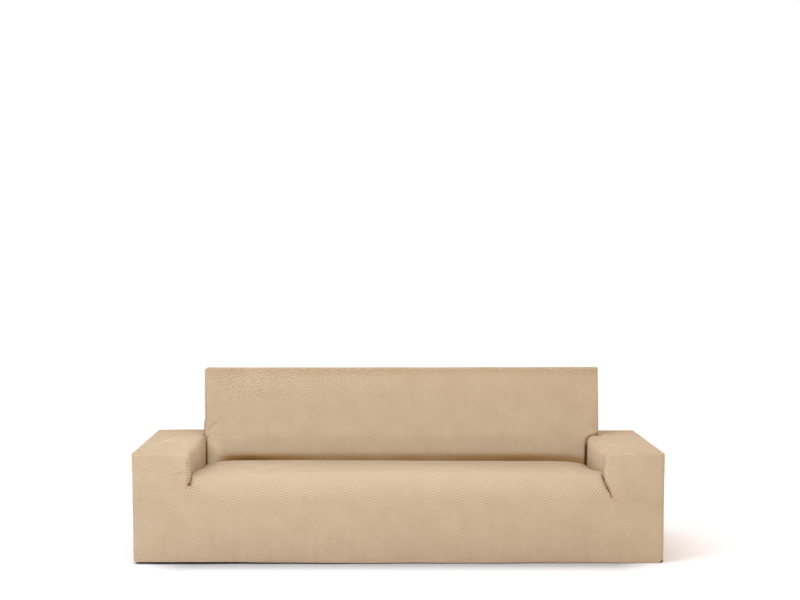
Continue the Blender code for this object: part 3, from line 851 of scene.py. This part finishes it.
def newMaterial(name, surface):
    material = bpy.data.materials.new(name)
    material.use_nodes = True
    nodes, links = material.node_tree.nodes, material.node_tree.links
    shader = nodes["Principled BSDF"]
    for socket, value in surface.items():
        shader.inputs[socket].default_value = value
    return material, nodes, links, shader


def newObject(name, data):
    thing = bpy.data.objects.new(name, data)
    bpy.context.scene.collection.objects.link(thing)
    return thing


def makeJacquard():
    material, nodes, links, shader = newMaterial("stretchJacquard", jacquard["surface"])

    def math(operation, first, second=None, third=None):
        node = addNode(nodes, "ShaderNodeMath", operation=operation)
        for socket, value in zip(node.inputs, (first, second, third)):
            if isinstance(value, (int, float)):
                socket.default_value = value
            elif value is not None:
                links.new(value, socket)
        return node.outputs[0]

    place = addNode(nodes, "ShaderNodeUVMap", uv_map="cloth").outputs[0]
    split = addNode(nodes, "ShaderNodeSeparateXYZ")
    links.new(place, split.inputs[0])
    u, v = split.outputs[0], split.outputs[1]

    # broad unevenness bends the rows a little, as stretch does
    drift = addNode(nodes, "ShaderNodeTexNoise", jacquard["driftNoise"])
    links.new(place, drift.inputs["Vector"])
    bent = math("MULTIPLY_ADD", drift.outputs["Fac"], jacquard["rowDrift"], v)
    zigzag = math("PINGPONG", u, jacquard["zigzagWidth"] / 2)
    row = math("MULTIPLY_ADD", zigzag, jacquard["zigzagSlope"], bent)
    turns = math("MULTIPLY", row, 2.0 * np.pi / jacquard["rowPitch"])
    ridge = math("MULTIPLY_ADD", math("SINE", turns), 0.5, 0.5)
    ridge = math("POWER", ridge, jacquard["rowSharpness"])

    # short stitches along each row
    knitTurns = 2.0 * np.pi / jacquard["knitPitch"]
    stitch = math("SINE", math("MULTIPLY", u, knitTurns))
    course = math("SINE", math("MULTIPLY", bent, knitTurns))
    knit = math("MULTIPLY", stitch, course)

    # the colour: the rows and a broad mottle, then a tint of painted shade, browner in creases,
    # corners and seams, and of painted light on a few faces
    mottle = addNode(nodes, "ShaderNodeTexNoise", jacquard["mottleNoise"])
    links.new(place, mottle.inputs["Vector"])
    spread = {"To Min": -jacquard["mottle"], "To Max": jacquard["mottle"]}
    tone = addNode(nodes, "ShaderNodeMapRange", {"From Min": 0.3, "From Max": 0.7, **spread})
    links.new(mottle.outputs["Fac"], tone.inputs["Value"])
    rowsAndPaintedShade = addNode(nodes, "ShaderNodeUVMap", uv_map="rowsAndPaintedShade").outputs[0]
    contrastAndShade = addNode(nodes, "ShaderNodeSeparateXYZ")
    links.new(rowsAndPaintedShade, contrastAndShade.inputs[0])
    # the rows show as strongly as the second map says: over the seat's roll this is painted
    # highlight and shade
    height = math("SUBTRACT", ridge, jacquard["rowMiddle"])
    shown = math("MULTIPLY", height, contrastAndShade.outputs[0])
    lightness = math("MULTIPLY_ADD", shown, jacquard["contrast"], jacquard["groundAt"])
    lightness = math("ADD", lightness, tone.outputs[0])
    places = {"shadow": 0.0, "thread": 1.0, "ground": jacquard["groundAt"]}
    ramp = colourRamp(nodes, [(place, jacquard[name]) for name, place in places.items()])
    links.new(lightness, ramp.inputs[0])
    paintedShadeRamp = colourRamp(nodes, jacquard["paintedShadeTints"])
    links.new(contrastAndShade.outputs[1], paintedShadeRamp.inputs[0])
    paintedShadeMix = addNode(nodes, "ShaderNodeMix", {0: 1.0}, data_type="RGBA", blend_type="MULTIPLY")
    links.new(paintedShadeRamp.outputs[0], paintedShadeMix.inputs[7])
    links.new(ramp.outputs[0], paintedShadeMix.inputs[6])
    links.new(paintedShadeMix.outputs[2], shader.inputs["Base Color"])

    fine = addNode(nodes, "ShaderNodeBump", jacquard["knitRelief"])
    links.new(knit, fine.inputs["Height"])
    relief = addNode(nodes, "ShaderNodeBump", jacquard["relief"])
    links.new(ridge, relief.inputs["Height"])
    links.new(fine.outputs[0], relief.inputs["Normal"])
    links.new(relief.outputs[0], shader.inputs["Normal"])
    return material


clothMaterial = makeJacquard()
print("cloth ready")


# How strongly the zigzag rows show in the colour: most over the seat's roll and the arms' fronts;
# over the roll the stronger rows are painted highlight and shade for the lamp catching the relief

rowContrast = {
    "rest": 0.4,
    "roll": 0.6,
    "armFronts": 0.15,
    "back": -0.15,
    "onRoll": {"fades": [("z", 0.25, 0.05), ("y", 0.115, -0.04), ("out", 0.99, -0.05)]},
    "onArmFronts": {"fades": [("out", 0.93, 0.05), ("y", 0.03, -0.02)]},
    "onBack": {"fades": [("y", 0.6, 0.05)]},
}


def rowStrengthAt(p):
    roll, armFronts = act(p, rowContrast["onRoll"]), act(p, rowContrast["onArmFronts"])
    total = rowContrast["rest"] + rowContrast["roll"] * roll
    total = total + rowContrast["armFronts"] * armFronts * (1.0 - roll)
    return total + rowContrast["back"] * act(p, rowContrast["onBack"])


# Painted shade and light: how far in the cloth lies between its neighbours, from 0 to 1, as painted
# shade, browner, and below the plain 0.2 as painted light, for the tints in jacquard

paintedShade = {
    "plain": 0.2,
    "onFace": {"fades": [("y", 0.66, 0.012), ("y", 0.78, -0.03)]},
    # painted shade, uneven, where the seat meets the back
    "atSeat": {"height": 0.038, "over": 0.034},
    "atSeatSides": {"fades": [("x", -0.93, 0.1), ("x", 0.96, -0.02)]},
    "atSeatEven": 0.44,
    "atSeatUneven": [
        {"by": 0.42, "bumps": [("x", -0.72, 0.2)]},
        {"by": 0.16, "bumps": [("x", 0.58, 0.26)]},
        {"waves": [(0.04, (23.0, 0.0, 0.0), 0.0)]},
    ],
    # painted shade where the back meets the arms
    "corner": {"left": 0.012, "right": 0.017, "over": 0.009, "high": 0.55, "low": 0.45},
    "cornerLow": {"fades": [("z", 0.48, -0.03)]},
    "cornerInside": {"fades": [("out", 1.0, -0.01)]},
    # painted shade along the back's top and at the arms' rear ends
    "places": [
        {"by": 0.1, "fades": [("z", 0.78, 0.05)]},
        {"by": 0.07, "fades": [("y", 0.62, 0.25), ("out", 0.98, 0.03), ("z", 0.46, 0.03)]},
    ],
    # painted shade along the seat's edge beside the arms and in the gathers' troughs
    "besideSeat": {"by": 0.25, "fades": [("z", 0.46, -0.07), ("y", 0.02, 0.02)]},
    "seatEdge": {"bumps": [("out", arm["inner"], 0.004)]},
    "gathers": 0.3,
    "slitWidth": 0.75,
    "squash": [1.0, 0.4, 1.0],  # depth counts for less than the place in the front view
    # painted shade on the left arm's inner face, painted light on the right one and on the back's
    # left corner
    "innerFace": {
        "fades": [("y", 0.05, 0.1), ("y", 0.69, -0.1), ("z", 0.37, 0.05), ("z", 0.5, -0.03)],
    },
    "leftInner": 0.06,
    "paintedLightCorner": {"fades": [("z", 0.53, -0.09)], "bumps": [("x", -0.905, 0.035)]},
}


def armAway(cut):  # distance from an arm's surface, as cut
    out, z = np.abs(cut[..., 0]), cut[..., 2]
    radius = arm["innerRound"]
    centreX, centreZ = arm["inner"] + radius, arm["top"] - radius
    atRound = np.abs(np.hypot(centreX - out, z - centreZ) - radius)
    atTop = np.where(out < centreX, atRound, np.abs(z - arm["top"]))
    return np.where(z < centreZ, np.abs(out - arm["inner"]), atTop)


# painted light and shade for each point: 0 is painted light, 0.2 plain, 1 the darkest painted shade
def paintedShadeAndLight(p, cut):
    x, z = p[..., 0], p[..., 2]
    onFace = act(p, paintedShade["onFace"])
    uneven = paintedShade["atSeatEven"] + sum(act(p, effect) for effect in paintedShade["atSeatUneven"])
    height = seatRear(x) + paintedShade["atSeat"]["height"]
    atSeat = uneven * act(p, paintedShade["atSeatSides"]) * smooth((height - z) / paintedShade["atSeat"]["over"])
    corner = paintedShade["corner"]
    reach = np.where(x > 0.0, corner["right"], corner["left"])
    behind = cut[..., 1] - backFaceY(cut[..., 2])
    atArm = smooth((reach - armAway(cut)) / corner["over"]) * act(cut, paintedShade["cornerInside"])
    atArm = atArm * smooth((behind + 0.01) / 0.008) * smooth((0.03 - behind) / 0.01)
    atArm = atArm * (corner["high"] + corner["low"] * (x > 0.0) * act(p, paintedShade["cornerLow"]))
    total = atSeat * onFace + atArm + act(p, paintedShade["besideSeat"]) * act(cut, paintedShade["seatEdge"])
    total = total + sum(act(p, effect) for effect in paintedShade["places"])
    # painted shade along the creases that have a number for it
    for fold in creases.values():
        if "paintedShade" in fold:
            away, place = nearLine(p * paintedShade["squash"], np.array(fold["line"]) * paintedShade["squash"])
            faded = smooth((1.0 - place) / fold.get("fade", creaseFade))
            pressed = bump(away, 0.0, paintedShade["slitWidth"] * fold["width"])
            total = total + fold["paintedShade"] * pressed * faded
    total = total + paintedShade["gathers"] * np.clip(gathered(p), 0.0, 1.0)
    # painted shade on the left arm's inner face, painted light on the right one and on the back's
    # left corner
    fromFace = np.abs(np.abs(x) - arm["inner"])
    inner = smooth((0.012 - fromFace) / 0.008) * act(p, paintedShade["innerFace"])
    total = total + paintedShade["leftInner"] * inner * (x < 0.0)
    paintedLight = np.clip(inner * (x > 0.0) + act(p, paintedShade["paintedLightCorner"]) * onFace, 0.0, 1.0)
    return np.clip(paintedShade["plain"] * (1.0 - paintedLight) + (1.0 - paintedShade["plain"]) * total, 0.0, 1.0)


def sewPanel(name, node, patches):
    sheet = bmesh.new()
    weave = sheet.loops.layers.uv.new("cloth")
    rowsAndPaintedShade = sheet.loops.layers.uv.new("rowsAndPaintedShade")
    for shape, cloth in patches:
        settled = settle(shape)
        # the second map holds how strongly the rows show, and the painted shade and light
        rowStrength, depth = rowStrengthAt(shape), paintedShadeAndLight(settled, shape)
        shape = crease(settled) - np.array(cover["heldAt"])
        cloth = np.broadcast_to(cloth, shape.shape[:2] + (2,))
        rows, columns = shape.shape[:2]
        grid = [[sheet.verts.new(shape[i, j]) for j in range(columns)] for i in range(rows)]
        for i in range(rows - 1):
            for j in range(columns - 1):
                corners = [(i, j), (i, j + 1), (i + 1, j + 1), (i + 1, j)]
                face = sheet.faces.new([grid[a][b] for a, b in corners])
                for loop, (a, b) in zip(face.loops, corners):
                    loop[weave].uv = cloth[a, b]
                    loop[rowsAndPaintedShade].uv = (rowStrength[a, b], depth[a, b])
    bmesh.ops.remove_doubles(sheet, verts=sheet.verts, dist=cover["weld"])
    for edge in sheet.edges:
        edge.smooth = not edge.is_boundary  # the cut edges are square
    mesh = bpy.data.meshes.new(name)
    sheet.to_mesh(mesh)
    sheet.free()
    mesh.shade_smooth()
    mesh.materials.append(clothMaterial)
    panel = newObject(name, mesh)
    thick = panel.modifiers.new("clothThickness", "SOLIDIFY")
    thick.thickness = cover["clothThickness"]
    thick.offset = -1.0
    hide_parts(node)
    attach(panel, "root")
    print("sewn", name)


sewPanel("frontSeatPanel", "front_seat_panel", frontSeatPatches())
for side in sides:
    name, node = "armPanel" + side.title(), "arm_panel_" + side
    sewPanel(name, node, armPatches(side))
sewPanel("backPanel", "back_panel", backPatches())
for side in sides:
    name, node = "backSide" + side.title(), "back_side_" + side
    sewPanel(name, node, backSidePatches(side))
sewPanel("rearPanel", "rear_panel", rearPatches())


# The studio

studio = {
    # a painted shadow: how bright the floor's colour is, by the distance from the rectangle under
    # the cover, darkest next to the cover
    "floorPaintedShadow": [(0.0, 0.48), (1.0, 0.95), (0.05, 0.5), (0.1, 0.62), (0.2, 0.86)],
    "floorTint": (0.99, 1.0, 1.05),
    "floorSurface": {"Roughness": 0.9, "Specular IOR Level": 0.1},
    "paintedShadowSize": (1.9, 0.93),
    "floorReach": (3.4, -5.0, 2.2),
    "hemClearance": 0.003,
    "around": {0: (1.13, 0.99, 0.86, 1.0), 1: 1.02},
    "seen": {0: (1.0, 1.0, 1.0, 1.0), 1: 1.05},
    "lampColour": (0.78, 0.975, 1.17),
    # each lamp shines at a point in the floor frame, from so far round to the side, up and away
    "lamps": {
        "key": {
            "at": (-0.3, 0.4, 0.4), "round": -42.0, "up": 42.0, "away": 5.5,
            "size": (2.5, 2.5), "spread": 180.0, "watts": 119.0,
        },
        "back": {
            "at": (0.0, 0.66, 0.47), "round": 0.0, "up": 8.0, "away": 4.0,
            "size": (2.4, 0.15), "spread": 18.0, "watts": 1.25,
        },
        "low": {
            "at": (0.0, 0.0, 0.02), "round": 0.0, "up": 1.0, "away": 4.0,
            "size": (2.8, 0.12), "spread": 9.0, "watts": 0.32,
        },
        "top": {
            "at": (0.0, 0.4, 0.5), "round": 0.0, "up": 80.0, "away": 4.0,
            "size": (3.0, 3.0), "spread": 180.0, "watts": 34.0,
        },
        "left": {
            "at": (0.944, 0.42, 0.455), "round": -60.0, "up": 13.0, "away": 4.5,
            "size": (0.3, 0.2), "spread": 11.0, "watts": 0.17,
        },
        "right": {
            "at": (-0.944, 0.45, 0.455), "round": 62.0, "up": 13.0, "away": 4.5,
            "size": (0.3, 0.2), "spread": 11.0, "watts": 0.24,
        },
        "behind": {
            "at": (0.0, 0.4, 0.4), "round": 180.0, "up": 58.0, "away": 4.5,
            "size": (3.5, 3.0), "spread": 180.0, "watts": 29.0,
        },
    },
}


def makeFloor():
    material, nodes, links, shader = newMaterial("paleFloorPaintedShadow", studio["floorSurface"])
    # the distance from a rectangle under the cover, for the floor's painted shadow
    place = addNode(nodes, "ShaderNodeTexCoord").outputs["Object"]
    centreY = cover["heldAt"][1] - 0.5 * cover["depth"]
    shifted = addNode(nodes, "ShaderNodeVectorMath", {1: (0.0, centreY, 0.0)})
    split = addNode(nodes, "ShaderNodeSeparateXYZ")
    links.new(place, shifted.inputs[0])
    links.new(shifted.outputs[0], split.inputs[0])
    apart = addNode(nodes, "ShaderNodeCombineXYZ")
    for axis, size in enumerate(studio["paintedShadowSize"]):
        last = split.outputs[axis]
        for operation, number in (("ABSOLUTE", 0.0), ("SUBTRACT", 0.5 * size), ("MAXIMUM", 0.0)):
            step = addNode(nodes, "ShaderNodeMath", {1: number}, operation=operation)
            links.new(last, step.inputs[0])
            last = step.outputs[0]
        links.new(last, apart.inputs[axis])
    away = addNode(nodes, "ShaderNodeVectorMath", operation="LENGTH")
    links.new(apart.outputs[0], away.inputs[0])
    tint = np.array(studio["floorTint"])
    # the floor's colour: a painted shadow, darker near the cover
    ramp = colourRamp(nodes, [(place, tint * grey) for place, grey in studio["floorPaintedShadow"]])
    links.new(away.outputs["Value"], ramp.inputs[0])
    links.new(ramp.outputs[0], shader.inputs["Base Color"])
    mesh = bpy.data.meshes.new("floor")
    wide, near, far = studio["floorReach"]
    z = -cover["heldAt"][2] - studio["hemClearance"]
    corners = [(-wide, near, z), (wide, near, z), (wide, far, z), (-wide, far, z)]
    mesh.from_pydata(corners, [], [(0, 1, 2, 3)])
    mesh.materials.append(material)
    floor = newObject("floor", mesh)


def makeSurroundings():  # one light for the cover, and white for the camera
    world = bpy.data.worlds.new("studio")
    bpy.context.scene.world = world
    world.use_nodes = True
    nodes, links = world.node_tree.nodes, world.node_tree.links
    soft = nodes["Background"]
    for socket, value in studio["around"].items():
        soft.inputs[socket].default_value = value
    seen = addNode(nodes, "ShaderNodeBackground", studio["seen"])
    path = addNode(nodes, "ShaderNodeLightPath")
    mix = addNode(nodes, "ShaderNodeMixShader")
    links.new(path.outputs["Is Camera Ray"], mix.inputs[0])
    links.new(soft.outputs[0], mix.inputs[1])
    links.new(seen.outputs[0], mix.inputs[2])
    links.new(mix.outputs[0], nodes["World Output"].inputs[0])


def placeLamps():
    for name, place in studio["lamps"].items():
        lamp = bpy.data.lights.new(name, "AREA")
        lamp.shape = "RECTANGLE"
        lamp.size, lamp.size_y = place["size"]
        lamp.spread = np.radians(place["spread"])
        lamp.energy = place["watts"]
        lamp.color = studio["lampColour"]
        turned, raised = np.radians(place["round"]), np.radians(place["up"])
        level = np.cos(raised)
        aim = Vector((-np.sin(turned) * level, np.cos(turned) * level, -np.sin(raised)))
        light = newObject(name, lamp)
        light.location = Vector(place["at"]) - Vector(cover["heldAt"]) - aim * place["away"]
        light.rotation_euler = aim.to_track_quat("-Z", "Y").to_euler()


makeFloor()
makeSurroundings()
placeLamps()
print("studio ready")

camera = {
    "focal": 73.76,
    "sensor": 36.0,
    "seesTo": 100.0,
    "place": (-0.092, -7.41, 1.451),
    "down": 1.957,
    "right": 0.769,
}


def placeCamera():
    data = bpy.data.cameras.new("photoView")
    data.lens = camera["focal"]
    data.sensor_width = camera["sensor"]
    data.clip_end = camera["seesTo"]
    view = newObject("photoView", data)
    view.location = Vector(camera["place"]) - Vector(cover["heldAt"])
    down, right = np.radians(camera["down"]), np.radians(camera["right"])
    view.rotation_euler = Euler((np.pi / 2 - down, 0.0, -right))
    bpy.context.scene.camera = view


placeCamera()
bpy.context.scene.view_settings.view_transform = "Standard"
bpy.context.scene.view_settings.look = "None"
print("camera ready")
